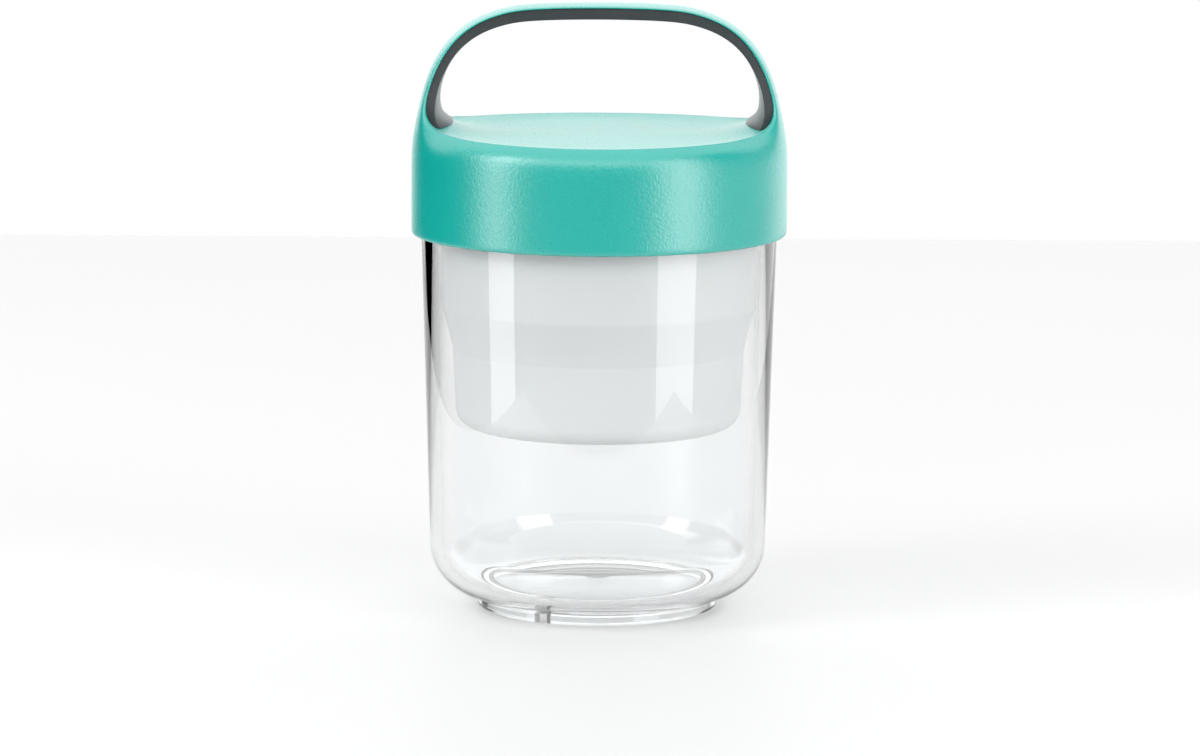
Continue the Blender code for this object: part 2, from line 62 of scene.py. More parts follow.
# Jar body
JAR_TOP_RADIUS = 0.0474
JAR_BASE_RADIUS = 0.0446
JAR_WALL = 0.0034
JAR_CORNER_RADIUS = 0.0138
JAR_SHOULDER_HEIGHT = 0.1012
JAR_SHOULDER_ROUND = 0.0010
JAR_FLOOR = 0.0040
NECK_SET_BACK = 0.0013
NECK_HEIGHT = 0.0164
NECK_ROUND = 0.0005
FOOT_HEIGHT = 0.0032
FOOT_RECESS = 0.0026
FOOT_OUTER_RADIUS = 0.0322
FOOT_WIDTH = 0.0030
FOOT_ROUND = 0.0008
DRAIN_NOTCH_WIDTH = 0.0037
DRAIN_NOTCH_DEGREES = -117.6
GATE_MARK_RADIUS = 0.0024
GATE_MARK_DEPTH = 0.0005

# Inner pot, measured down from the underside of its flange and in from the jar's wall
POT_WALL = 0.0015
POT_DEPTH = 0.0708
POT_WAIST_DEPTH = 0.0498
POT_SHOULDER_DEPTH = 0.0380
POT_WAIST_GAP = 0.0037
POT_SHOULDER_GAP = 0.0009
POT_BASE_GAP = 0.0043
POT_CORNER_RADIUS = 0.0050
POT_BEND_RADIUS = 0.0060
POT_RIM_ROUND = 0.0005
POT_FLANGE = 0.0016
POT_BASE_RECESS = 0.0006
POT_BASE_RECESS_RADIUS = 0.0250

# Sealing rings
POT_SEAL_THICKNESS = 0.0014
LID_SEAL_THICKNESS = 0.0020
LID_SEAL_WIDTH = 0.0027
SEAL_ROUND = 0.0005
SEAL_GROOVE = 0.0004

# Lid shell
LID_WALL = 0.0021
LID_DECK = 0.0021
LID_EDGE_OVERLAP = 0.0010
LID_EDGE_ROUND = 0.0012
LID_CREST_INSET = 0.0038
LID_CREST_HEIGHT = 0.0009
LID_SHOULDER_DROP = 0.0014
LID_SADDLE = 0.0009
SEAL_SEAT = 0.0010
SEAL_RIB_WIDTH = 0.0013
SEAL_RIB_DEPTH = 0.0016
SEAL_WALL_STEP = 0.0010

# Screw threads: one start, the lid's half a pitch below the jar's
THREAD_PITCH = 0.0050
THREAD_TURNS = 1.25
THREAD_HALF_WIDTH = 0.0011
THREAD_FLANK = 0.0007
THREAD_RUN_OUT_TURNS = 0.07
JAR_THREAD_HEIGHT = 0.0042
JAR_THREAD_DEPTH = 0.00076
LID_THREAD_DEPTH = 0.00084

# Arched handle: a superellipse that starts at the skirt's lower edge
ARCH_INSET = 0.0002
ARCH_HEIGHT = 0.0614
ARCH_POWER = 3.6
ARCH_FIRST_DEGREES = 18.5
ARCH_SECTIONS = 8
STRAP_CROWN_HALF_WIDTH = 0.0074
STRAP_FOOT_HALF_WIDTH = 0.0130
STRAP_CROWN_EDGE = 0.0006
STRAP_SIDE_EDGE = 0.0009
STRAP_FOOT_EDGE = 0.0004
STRAP_CROWN_BULGE = 0.0003
STRAP_SIDE_BULGE = 0.0010
STRAP_SIDE_ROUND = 0.0003
SWOOP_HEIGHT = 0.0033

# Soft grip under the strap
GRIP_CROWN_THICKNESS = 0.0029
GRIP_SIDE_THICKNESS = 0.0020
GRIP_BULGE = 0.0009
GRIP_EDGE_INSET = 0.0003
GRIP_BITE = 0.0006
TONGUE_REACH = 0.0096
TONGUE_DROP = 0.0036

# Shares of the sizes above and numbers of points, chosen for the cage's shape
SKIRT_EDGE_RINGS = 3
SKIRT_RING_SHARES = (0.13, 0.45, 0.76)
DECK_RING_SHARES = (0.905, 0.80, 0.69, 0.46)
DECK_DISH_SHARES = (0.80, 0.15, 0.0, 0.0)
DECK_SADDLE_SHARES = (1.0, 0.6, 0.1, 0.0)
MIDDLE_SWOOP_SHARES = (0.66, 0.97, 0.30, 0.0)
OUTER_SWOOP_SHARES = (0.00, 0.14, 0.08, 0.0)
CREST_SWOOP_SHARE = 0.36
STRAP_OUTER_SHARES = (-1.0, -0.42, 0.42, 1.0)
STRAP_INNER_SHARES = (1.0, 0.50, -0.50, -1.0)
GRIP_OUTER_SHARES = (-1.0, -0.85, 0.85, 1.0)
GRIP_INNER_SHARES = (1.0, 0.55, -0.55, -1.0)
TONGUE_STATION_SHARES = (
    (0.66, 1.40, 0.67, 1.15, 1.03, 1.04),
    (0.52, 1.15, 0.65, 0.83, 1.01, 0.56),
    (0.35, 0.95, 0.58, 0.57, 0.84, 0.32),
    (0.24, 0.40, 0.53, 0.18, 0.69, 0.05),
    (0.22, -0.43, 0.51, -0.46, 0.62, -0.55),
)
CREST_CREASE_SHARE = 0.62
FOOT_CREASE_SHARE = 0.40
GRIP_CREASE_SHARE = 0.60
MIRROR = Vector((-1, 1, 1))
GRIP_EDGE_COLUMNS = (0, 3, 4, 7)
RIGHT_FOOT_COLUMNS = (22, 23, 0, 1)
LEFT_FOOT_COLUMNS = (13, 12, 11, 10)

# Heights and radii that follow from the sizes above
JAR_RIM_HEIGHT = JAR_SHOULDER_HEIGHT + NECK_HEIGHT
JAR_SLOPE = (JAR_TOP_RADIUS - JAR_BASE_RADIUS) / (JAR_SHOULDER_HEIGHT - FOOT_HEIGHT)
NECK_RADIUS = JAR_TOP_RADIUS - NECK_SET_BACK
JAR_BORE = JAR_TOP_RADIUS - JAR_WALL
FLANGE_UNDERSIDE = JAR_RIM_HEIGHT + POT_SEAL_THICKNESS + 2 * CONTACT_GAP
FLANGE_TOP = FLANGE_UNDERSIDE + POT_FLANGE
POT_RADIUS = JAR_BORE - POT_SIDE_GAP
SEAL_SEAT_HEIGHT = FLANGE_TOP + LID_SEAL_THICKNESS + 2 * CONTACT_GAP
DECK_UNDERSIDE = SEAL_SEAT_HEIGHT + SEAL_SEAT
DECK_TOP = DECK_UNDERSIDE + LID_DECK
SKIRT_BORE = JAR_TOP_RADIUS + LID_SIDE_GAP
LID_RADIUS = SKIRT_BORE + LID_WALL
SKIRT_EDGE_HEIGHT = JAR_SHOULDER_HEIGHT - LID_EDGE_OVERLAP
LID_SEAL_OUTER = SKIRT_BORE - SEAL_WALL_STEP - CONTACT_GAP
LID_SEAL_INNER = LID_SEAL_OUTER - LID_SEAL_WIDTH
ARCH_RADIUS = LID_RADIUS - ARCH_INSET
JAR_THREAD_START = JAR_SHOULDER_HEIGHT + JAR_THREAD_HEIGHT
LID_THREAD_START = JAR_THREAD_START - THREAD_PITCH / 2

# Camera, as fitted to the photograph
CAMERA_PLACE = (0.00045, -1.320, 0.2686)
CAMERA_TARGET = (0.00045, 0.0, 0.0612)
CAMERA_LENS = 149.7
CAMERA_SENSOR = 36.0
CAMERA_ROLL_DEGREES = 0.30

# Studio: soft-edged cards all round as middle azimuth, half width, lowest and highest Z of their
# direction and strength, and soft boxes as azimuth, distance, height, width, length and power.
# Azimuth is in degrees from the camera's side and grows to the right
STUDIO_CARDS = (
    (177, 27, -1.2, 0.0, 1.65),
    (140, 10, -1.2, 0.0, 1.6),
    (0, 50, -1.2, 0.0, 0.25),
    (90, 40, -1.2, 0.0, 0.75),
    (177, 27, 0.0, 0.35, 1.65),
    (-10, 60, 0.0, 0.35, 0.32),
    (110, 40, 0.0, 0.35, 0.45),
    (-135, 25, 0.2, 0.72, 1.1),
    (-30, 60, 0.35, 0.72, 1.9),
    (160, 50, 0.35, 0.72, 1.2),
    (0, 200, 0.72, 1.2, 1.15),
)
CARD_SOFT_DEGREES = 4
CARD_SOFT_HEIGHT = 0.04
FLOOR_GLOW = 0.08
FLOOR_WIDTH = 0.60
FLOOR_LENGTH = 1.04
FLOOR_SHIFT = 0.25
FLOOR_STEPS = 8
FLOOR_CLOUD = 0.5
FLOOR_TONES = ((0.65, 0.65, 0.65), (0.67, 0.67, 0.67))
SOFT_BOX_TARGET = (0, 0, 0.08)
SOFT_BOXES = (
    ("right_box", 51, 1.3, 0.35, 0.66, 1.6, 10.5),
    ("left_box", -65, 1.3, 0.35, 0.46, 1.6, 8.0),
)


def link(tree, source, target):
    """Joins two sockets of a node tree."""
    tree.links.new(source, target)


def add_node(tree, kind, settings=None, **inputs):
    """A node with its settings, and inputs given by name as values or as sockets to join."""
    node = tree.nodes.new(kind)
    for name, value in (settings or {}).items():
        setattr(node, name, value)
    for name, value in inputs.items():
        socket = node.inputs[name.replace("_", " ")]
        if isinstance(value, bpy.types.NodeSocket):
            link(tree, value, socket)
        else:
            socket.default_value = value
    return node


def sum_of(tree, operation, *values, clamp=False):
    """The output of a math node over values or sockets."""
    node = tree.nodes.new("ShaderNodeMath")
    node.operation = operation
    node.use_clamp = clamp
    for socket, value in zip(node.inputs, values):
        if isinstance(value, bpy.types.NodeSocket):
            link(tree, value, socket)
        else:
            socket.default_value = value
    return node.outputs[0]


# Finishes

def new_finish(name):
    """A material with a Principled shader, and the shader and a pattern's object coordinates."""
    finish = bpy.data.materials.new(name)
    finish.use_nodes = True
    tree = finish.node_tree
    shader = tree.nodes["Principled BSDF"]
    place = tree.nodes.new("ShaderNodeTexCoord").outputs["Object"]
    return finish, tree, shader, place


def noise(tree, place, grain, detail=2.0, roughness=0.5):
    """Noise whose grain is given in metres."""
    made = add_node(tree, "ShaderNodeTexNoise", Scale=1 / grain, Detail=detail, Roughness=roughness)
    link(tree, place, made.inputs["Vector"])
    return made.outputs["Fac"]


def tones(tree, factor, dark, light):
    """A colour between two tones."""
    ramp = tree.nodes.new("ShaderNodeValToRGB")
    ramp.color_ramp.elements[0].position = TONE_START
    ramp.color_ramp.elements[1].position = TONE_END
    ramp.color_ramp.elements[0].color = (*dark, 1)
    ramp.color_ramp.elements[1].color = (*light, 1)
    link(tree, factor, ramp.inputs["Fac"])
    return ramp.outputs["Color"]


def spread(tree, factor, low, high):
    """A value between two limits."""
    made = add_node(tree, "ShaderNodeMapRange", Value=factor, To_Min=low, To_Max=high)
    return made.outputs["Result"]


def grain_bump(tree, shader, height, depth, strength):
    """Bump of a given depth in metres."""
    made = add_node(tree, "ShaderNodeBump", Height=height, Distance=depth, Strength=strength)
    link(tree, made.outputs["Normal"], shader.inputs["Normal"])


def clear_finish():
    """Clear copolyester: thick, slightly cool, with a moulding's faint flow and a matt gate mark whose dark
    colour is painted shade.
    """
    finish, tree, shader, place = new_finish("clear_copolyester")
    parts = add_node(tree, "ShaderNodeSeparateXYZ", Vector=place)
    flat = add_node(tree, "ShaderNodeCombineXYZ", X=parts.outputs["X"], Y=parts.outputs["Y"])
    off_axis = add_node(tree, "ShaderNodeVectorMath", {"operation": "LENGTH"})
    link(tree, flat.outputs[0], off_axis.inputs[0])
    within = sum_of(tree, "LESS_THAN", off_axis.outputs["Value"], GATE_MARK_RADIUS)
    under = sum_of(tree, "LESS_THAN", parts.outputs["Z"], FOOT_RECESS + 2 * GATE_MARK_DEPTH)
    scar_and_painted_shade = sum_of(tree, "MULTIPLY", within, under)
    # Painted shade: the gate mark is coloured near black, where the real clear scar only looks dark as it
    # scatters light; its matt roughness is real.
    link(tree, tones(tree, scar_and_painted_shade, (0.962, 0.975, 0.975), (0.030, 0.045, 0.050)), shader.inputs["Base Color"])
    link(tree, sum_of(tree, "MULTIPLY", scar_and_painted_shade, 0.6), shader.inputs["Roughness"])
    shader.inputs["Transmission Weight"].default_value = 1.0
    shader.inputs["IOR"].default_value = 1.53
    flow = noise(tree, place, 0.030, detail=1.0)
    grain_bump(tree, shader, flow, 0.0002, 0.15)
    return finish


def milky_finish():
    """Milky polypropylene: lets light through but blurs what lies behind."""
    finish, tree, shader, place = new_finish("milky_polypropylene")
    cloud = noise(tree, place, 0.020)
    link(tree, tones(tree, cloud, (0.965, 0.982, 0.982), (0.975, 0.990, 0.990)), shader.inputs["Base Color"])
    link(tree, spread(tree, cloud, 0.30, 0.40), shader.inputs["Roughness"])
    shader.inputs["Transmission Weight"].default_value = 0.30
    shader.inputs["IOR"].default_value = 1.47
    grain_bump(tree, shader, noise(tree, place, 0.0012), 0.00002, 0.4)
    return finish


def teal_finish():
    """Teal polypropylene with the fine matte texture of a spark-eroded mould."""
    finish, tree, shader, place = new_finish("teal_polypropylene")
    cloud = noise(tree, place, 0.018)
    grain = noise(tree, place, 0.00075, detail=3.0, roughness=0.6)
    link(tree, tones(tree, cloud, (0.0, 0.410, 0.352), (0.0, 0.430, 0.370)), shader.inputs["Base Color"])
    link(tree, spread(tree, grain, 0.24, 0.34), shader.inputs["Roughness"])
    shader.inputs["IOR"].default_value = 2.0
    grain_bump(tree, shader, grain, 0.00010, 1.0)
    return finish


def soft_touch_finish():
    """Dark soft-touch rubber with a fine grain and a dusty sheen."""
    finish, tree, shader, place = new_finish("dark_soft_touch")
    grain = noise(tree, place, 0.00050, detail=3.0, roughness=0.65)
    dust = noise(tree, place, 0.0060)
    link(tree, tones(tree, dust, (0.024, 0.030, 0.033), (0.032, 0.038, 0.041)), shader.inputs["Base Color"])
    link(tree, spread(tree, grain, 0.38, 0.50), shader.inputs["Roughness"])
    shader.inputs["Sheen Weight"].default_value = 0.60
    shader.inputs["Sheen Roughness"].default_value = 0.5
    grain_bump(tree, shader, grain, 0.00009, 0.7)
    return finish


def silicone_finish():
    """Frosted silicone of the sealing rings."""
    finish, tree, shader, place = new_finish("frosted_silicone")
    cloud = noise(tree, place, 0.0080)
    link(tree, tones(tree, cloud, (0.58, 0.62, 0.63), (0.68, 0.71, 0.72)), shader.inputs["Base Color"])
    link(tree, spread(tree, cloud, 0.38, 0.50), shader.inputs["Roughness"])
    shader.inputs["Transmission Weight"].default_value = 0.15
    grain_bump(tree, shader, noise(tree, place, 0.0009), 0.00003, 0.4)
    return finish


# Outlines

def arc(centre, radius, start, end, steps):
    """Points of a circular arc between two angles, both ends included."""
    points = []
    for step in range(steps + 1):
        angle = start + (end - start) * step / steps
        points.append((centre[0] + radius * math.cos(angle), centre[1] + radius * math.sin(angle)))
    return points


def fillet(before, corner, after, radius, steps):
    """Points of a round in place of a corner, never longer than the edges beside it."""
    into = Vector(before) - Vector(corner)
    away = Vector(after) - Vector(corner)
    half = into.angle(away) / 2
    longest = min(into.length, away.length) / 2
    radius = min(radius, longest * math.tan(half))
    reach = radius / math.tan(half)
    into.normalize()
    away.normalize()
    centre = Vector(corner) + (into + away).normalized() * (radius / math.sin(half))
    start = Vector(corner) + into * reach - centre
    end = Vector(corner) + away * reach - centre
    first = math.atan2(start.y, start.x)
    sweep = math.atan2(end.y, end.x) - first
    if sweep > math.pi:
        sweep -= 2 * math.pi
    if sweep < -math.pi:
        sweep += 2 * math.pi
    return arc(centre, radius, first, first + sweep, steps)


def rounded(corners):
    """An outline in the XZ plane from corners given as radius, height, round and round steps."""
    points = []
    for index, (radius, height, edge_round, steps) in enumerate(corners):
        if steps == 0:
            points.append((radius, height))
            continue
        before = corners[index - 1][:2]
        after = corners[(index + 1) % len(corners)][:2]
        points += fillet(before, (radius, height), after, edge_round, steps)
    return points


def with_rows(points, radius, row_height):
    """The outline with close rows added along its upright stretches at a radius, for a thread."""
    made = [points[0]]
    for before, after in zip(points, points[1:]):
        upright = abs(before[0] - radius) < MERGE_DISTANCE and abs(after[0] - radius) < MERGE_DISTANCE
        rows = math.ceil(abs(after[1] - before[1]) / row_height) if upright else 1
        for row in range(1, rows + 1):
            share = row / rows
            made.append((before[0] + (after[0] - before[0]) * share,
                         before[1] + (after[1] - before[1]) * share))
    return made


# Turned pieces

def turning_tree():
    """Geometry nodes that turn an outline round Z and raise a screw thread from one of its walls."""
    tree = bpy.data.node_groups.new("turned_piece", "GeometryNodeTree")
    for name, kind in (("Outline", "Geometry"), ("Columns", "Int"), ("Thread Radius", "Float"),
                       ("Thread Start", "Float"), ("Thread Pitch", "Float"), ("Thread Turns", "Float"),
                       ("Thread Depth", "Float"), ("Thread Half Width", "Float"), ("Thread Flank", "Float"),
                       ("Thread Run Out", "Float"), ("Sharp Angle", "Float"), ("Finish", "Material")):
        tree.interface.new_socket(name=name, in_out="INPUT", socket_type="NodeSocket" + kind)
    tree.interface.new_socket(name="Piece", in_out="OUTPUT", socket_type="NodeSocketGeometry")
    given = tree.nodes.new("NodeGroupInput").outputs

    rows = add_node(tree, "GeometryNodeAttributeDomainSize", {"component": "MESH"}, Geometry=given["Outline"])
    row_count = rows.outputs["Point Count"]
    seam = sum_of(tree, "ADD", given["Columns"], 1)
    grid = add_node(tree, "GeometryNodeMeshGrid", Vertices_X=seam, Vertices_Y=row_count)
    index = tree.nodes.new("GeometryNodeInputIndex").outputs[0]
    column = sum_of(tree, "FLOOR", sum_of(tree, "DIVIDE", sum_of(tree, "ADD", index, 0.5), row_count))
    row = sum_of(tree, "SUBTRACT", index, sum_of(tree, "MULTIPLY", column, row_count))
    outline = add_node(tree, "GeometryNodeSampleIndex", {"data_type": "FLOAT_VECTOR", "domain": "POINT"},
                       Geometry=given["Outline"], Index=row)
    link(tree, tree.nodes.new("GeometryNodeInputPosition").outputs[0], outline.inputs["Value"])
    point = add_node(tree, "ShaderNodeSeparateXYZ", Vector=outline.outputs["Value"])
    radius, height = point.outputs["X"], point.outputs["Z"]
    turn = sum_of(tree, "DIVIDE", column, given["Columns"])

    climb = sum_of(tree, "SUBTRACT", height, given["Thread Start"])
    climb = sum_of(tree, "DIVIDE", climb, given["Thread Pitch"])
    climb = sum_of(tree, "SUBTRACT", climb, turn)
    whole = sum_of(tree, "ROUND", climb)
    along = sum_of(tree, "ADD", whole, turn)
    off_line = sum_of(tree, "ABSOLUTE", sum_of(tree, "SUBTRACT", climb, whole))
    off_line = sum_of(tree, "MULTIPLY", off_line, given["Thread Pitch"])
    section = sum_of(tree, "SUBTRACT", given["Thread Half Width"], off_line)
    section = sum_of(tree, "DIVIDE", section, given["Thread Flank"], clamp=True)
    run_in = sum_of(tree, "DIVIDE", along, given["Thread Run Out"], clamp=True)
    left = sum_of(tree, "SUBTRACT", given["Thread Turns"], along)
    run_out = sum_of(tree, "DIVIDE", left, given["Thread Run Out"], clamp=True)
    off_wall = sum_of(tree, "ABSOLUTE", sum_of(tree, "SUBTRACT", radius, given["Thread Radius"]))
    on_wall = sum_of(tree, "LESS_THAN", off_wall, MERGE_DISTANCE)
    rise = given["Thread Depth"]
    for factor in (section, run_in, run_out, on_wall):
        rise = sum_of(tree, "MULTIPLY", rise, factor)
    radius = sum_of(tree, "ADD", radius, rise)

    angle = sum_of(tree, "MULTIPLY", turn, 2 * math.pi)
    place = tree.nodes.new("ShaderNodeCombineXYZ")
    link(tree, sum_of(tree, "MULTIPLY", radius, sum_of(tree, "COSINE", angle)), place.inputs["X"])
    link(tree, sum_of(tree, "MULTIPLY", radius, sum_of(tree, "SINE", angle)), place.inputs["Y"])
    link(tree, height, place.inputs["Z"])
    placed = add_node(tree, "GeometryNodeSetPosition", Geometry=grid.outputs["Mesh"],
                      Position=place.outputs[0])
    closed = add_node(tree, "GeometryNodeMergeByDistance", Geometry=placed.outputs[0],
                      Distance=MERGE_DISTANCE)
    smooth = add_node(tree, "GeometryNodeSetShadeSmooth", {"domain": "FACE"}, Geometry=closed.outputs[0])
    bend = tree.nodes.new("GeometryNodeInputMeshEdgeAngle").outputs["Unsigned Angle"]
    sharp = add_node(tree, "GeometryNodeSetShadeSmooth", {"domain": "EDGE"}, Geometry=smooth.outputs[0],
                     Selection=sum_of(tree, "GREATER_THAN", bend, given["Sharp Angle"]), Shade_Smooth=False)
    real = add_node(tree, "GeometryNodeRealizeInstances", Geometry=sharp.outputs[0])
    dressed = add_node(tree, "GeometryNodeSetMaterial", Geometry=real.outputs[0], Material=given["Finish"])
    result = tree.nodes.new("NodeGroupOutput")
    link(tree, dressed.outputs[0], result.inputs["Piece"])
    return tree


def new_object(name, mesh):
    """An object in the scene."""
    made = bpy.data.objects.new(name, mesh)
    bpy.context.scene.collection.objects.link(made)
    return made


def settle(piece):
    """Turns a piece's live modifiers into its own mesh."""
    graph = bpy.context.evaluated_depsgraph_get()
    mesh = bpy.data.meshes.new_from_object(piece.evaluated_get(graph))
    mesh.name = piece.name
    piece.modifiers.clear()
    piece.data = mesh
    return piece


def turned(name, points, finish, tree, ring=False, thread=None):
    """A turned piece. A ring's outline is closed, and a thread is its radius, start and depth."""
    if ring:
        points = points + points[:1]
    mesh = bpy.data.meshes.new(name)
    mesh.from_pydata([(radius, 0, height) for radius, height in points],
                     [(step, step + 1) for step in range(len(points) - 1)], [])
    piece = new_object(name, mesh)
    turning = piece.modifiers.new("turning", "NODES")
    turning.node_group = tree
    radius, start, depth = thread or (0.0, 0.0, 0.0)
    values = {
        "Columns": TURN_COLUMNS,
        "Thread Radius": radius,
        "Thread Start": start,
        "Thread Pitch": THREAD_PITCH,
        "Thread Turns": THREAD_TURNS,
        "Thread Depth": depth,
        "Thread Half Width": THREAD_HALF_WIDTH,
        "Thread Flank": THREAD_FLANK,
        "Thread Run Out": THREAD_RUN_OUT_TURNS,
        "Sharp Angle": math.radians(SHARP_DEGREES),
        "Finish": finish,
    }
    for socket in tree.interface.items_tree:
        if socket.name in values:
            turning[socket.identifier] = values[socket.name]
    return settle(piece)


def cut(piece, cutter):
    """A Boolean cut, made part of the mesh."""
    modifier = piece.modifiers.new("cut", "BOOLEAN")
    modifier.operation = "DIFFERENCE"
    modifier.solver = "EXACT"
    modifier.object = cutter
    settle(piece)
    bpy.data.objects.remove(cutter)
    return piece


def jar_inner_radius(height):
    """The jar's inner wall at a height above its corner."""
    return JAR_BASE_RADIUS + JAR_SLOPE * (height - FOOT_HEIGHT) - JAR_WALL


def jar_outline():
    """The jar from the middle of its underside, round the outside, over the rim and down inside."""
    lean = math.atan(JAR_SLOPE)
    corner_height = FOOT_HEIGHT + JAR_CORNER_RADIUS
    wall_at_corner = JAR_BASE_RADIUS + JAR_SLOPE * JAR_CORNER_RADIUS
    corner = (wall_at_corner - JAR_CORNER_RADIUS / math.cos(lean), corner_height)
    floor_height = FOOT_RECESS + JAR_FLOOR
    inner_round = corner_height - floor_height
    foot_reach = (FOOT_OUTER_RADIUS - corner[0]) / JAR_CORNER_RADIUS
    foot_angle = math.asin(foot_reach) - math.pi / 2
    foot_inner = FOOT_OUTER_RADIUS - FOOT_WIDTH
    gate_top = FOOT_RECESS + GATE_MARK_DEPTH
    inner_base = corner[0] + inner_round / math.cos(lean) - JAR_SLOPE * inner_round
    rim_bore = JAR_BORE + JAR_SLOPE * NECK_HEIGHT
    neck_start = JAR_SHOULDER_HEIGHT + NECK_SET_BACK

    outline = [(0, gate_top)]
    outline += rounded([
        (0, gate_top, 0, 0),
        (GATE_MARK_RADIUS, gate_top, GATE_MARK_DEPTH / 2, EDGE_STEPS),
        (GATE_MARK_RADIUS + GATE_MARK_DEPTH, FOOT_RECESS, GATE_MARK_DEPTH / 2, EDGE_STEPS),
        (foot_inner, FOOT_RECESS, FOOT_ROUND, EDGE_STEPS),
        (foot_inner, 0, FOOT_ROUND, EDGE_STEPS),
        (FOOT_OUTER_RADIUS, 0, FOOT_ROUND, EDGE_STEPS),
        (FOOT_OUTER_RADIUS, FOOT_HEIGHT, 0, 0),
    ])[1:-1]
    outline += arc(corner, JAR_CORNER_RADIUS, foot_angle, -lean, CORNER_STEPS)
    outline += rounded([
        (JAR_BASE_RADIUS, FOOT_HEIGHT, 0, 0),
        (JAR_TOP_RADIUS, JAR_SHOULDER_HEIGHT, JAR_SHOULDER_ROUND, EDGE_STEPS),
        (NECK_RADIUS, neck_start, NECK_ROUND, EDGE_STEPS),
        (NECK_RADIUS, JAR_RIM_HEIGHT, NECK_ROUND, EDGE_STEPS),
        (rim_bore, JAR_RIM_HEIGHT, NECK_ROUND, EDGE_STEPS),
        (inner_base, floor_height, inner_round, CORNER_STEPS),
        (0, floor_height, 0, 0),
    ])[1:]
    return outline


def make_jar(finish, tree):
    """The clear jar with its thread, its foot ring and the drain notch through the ring."""
    outline = with_rows(jar_outline(), NECK_RADIUS, THREAD_ROW_HEIGHT)
    thread = (NECK_RADIUS, JAR_THREAD_START, JAR_THREAD_DEPTH)
    jar = turned("jar", outline, finish, tree, thread=thread)
    turn = math.radians(DRAIN_NOTCH_DEGREES)
    reach = FOOT_OUTER_RADIUS - FOOT_WIDTH / 2
    bm = bmesh.new()
    bmesh.ops.create_cube(bm, size=1.0)
    length = FOOT_WIDTH + 2 * CUT_OVERRUN
    bmesh.ops.scale(bm, verts=bm.verts, vec=(length, DRAIN_NOTCH_WIDTH, 2 * FOOT_RECESS))
    mesh = bpy.data.meshes.new("drain_notch")
    bm.to_mesh(mesh)
    bm.free()
    notch = new_object("drain_notch", mesh)
    notch.location = (reach * math.cos(turn), reach * math.sin(turn), 0)
    notch.rotation_euler = (0, 0, turn)
    return cut(jar, notch)


def pot_outline():
    """The pot from the middle of its underside, round the outside, over the flange and down inside."""
    base = FLANGE_UNDERSIDE - POT_DEPTH
    waist = FLANGE_UNDERSIDE - POT_WAIST_DEPTH
    shoulder = FLANGE_UNDERSIDE - POT_SHOULDER_DEPTH
    base_radius = jar_inner_radius(base) - POT_BASE_GAP
    waist_radius = jar_inner_radius(waist) - POT_WAIST_GAP
    shoulder_radius = jar_inner_radius(shoulder) - POT_SHOULDER_GAP
    inner_corner = POT_CORNER_RADIUS - POT_WALL
    inner_bend = POT_BEND_RADIUS - POT_WALL
    recess = base + POT_BASE_RECESS
    recess_edge = POT_BASE_RECESS_RADIUS + POT_BASE_RECESS
    return rounded([
        (0, recess, 0, 0),
        (POT_BASE_RECESS_RADIUS, recess, POT_BASE_RECESS, EDGE_STEPS),
        (recess_edge, base, POT_BASE_RECESS, EDGE_STEPS),
        (base_radius, base, POT_CORNER_RADIUS, CORNER_STEPS),
        (waist_radius, waist, POT_WALL, EDGE_STEPS),
        (shoulder_radius, shoulder, POT_BEND_RADIUS, CORNER_STEPS),
        (POT_RADIUS, FLANGE_UNDERSIDE, 0, 0),
        (NECK_RADIUS, FLANGE_UNDERSIDE, POT_RIM_ROUND, EDGE_STEPS),
        (NECK_RADIUS, FLANGE_TOP, POT_RIM_ROUND, EDGE_STEPS),
        (POT_RADIUS - POT_WALL, FLANGE_TOP, POT_RIM_ROUND, EDGE_STEPS),
        (shoulder_radius - POT_WALL, shoulder, inner_bend, CORNER_STEPS),
        (waist_radius - POT_WALL, waist, POT_WALL, EDGE_STEPS),
        (base_radius - POT_WALL, recess + POT_WALL, inner_corner, CORNER_STEPS),
        (0, recess + POT_WALL, 0, 0),
    ])


def seal_outline(inner, outer, bottom, top):
    """A ring's section with rounded edges and a groove along its underside."""
    middle = (inner + outer) / 2
    quarter = (outer - inner) / 4
    return rounded([
        (inner, bottom, SEAL_ROUND, EDGE_STEPS),
        (middle - quarter, bottom, SEAL_GROOVE, EDGE_STEPS),
        (middle, bottom + SEAL_GROOVE, SEAL_GROOVE, EDGE_STEPS),
        (middle + quarter, bottom, SEAL_GROOVE, EDGE_STEPS),
        (outer, bottom, SEAL_ROUND, EDGE_STEPS),
        (outer, top, SEAL_ROUND, EDGE_STEPS),
        (inner, top, SEAL_ROUND, EDGE_STEPS),
    ])


# Arched lid

def arch_point(degrees):
    """A point of the handle's outer line and its inward normal, both in the XZ plane."""
    across = math.cos(math.radians(degrees))
    along = math.sin(math.radians(degrees))
    power = 2 / ARCH_POWER
    side = math.copysign(1, across)
    x_share = side * abs(across) ** power
    z_share = along ** power
    point = Vector((ARCH_RADIUS * x_share, 0, SKIRT_EDGE_HEIGHT + ARCH_HEIGHT * z_share))
    steepness = ARCH_POWER - 1
    normal = Vector((side * abs(x_share) ** steepness / ARCH_RADIUS, 0, z_share ** steepness / ARCH_HEIGHT))
    return point, -normal.normalized()


def arch_angles():
    """Angles of the handle's sections, from the right foot over the crown to the left foot."""
    angles = []
    for step in range(2 * ARCH_SECTIONS + 1):
        from_crown = 1 - step / ARCH_SECTIONS
        angles.append(90 - from_crown * (90 - ARCH_FIRST_DEGREES))
    return angles


def arch_line():
    """Cage points and normals that bring the smoothed handle back onto its outer line."""
    angles = arch_angles()
    step = angles[1] - angles[0]
    line = []
    for angle in angles:
        point, normal = arch_point(angle)
        before = arch_point(angle - step)[0]
        after = arch_point(angle + step)[0]
        line.append((point - (before - 2 * point + after) / 6, normal))
    return line


def foot_share(angle):
    """How near a section is to a foot: nought at the crown, one at the first section."""
    return (abs(90 - angle) / (90 - ARCH_FIRST_DEGREES)) ** 2


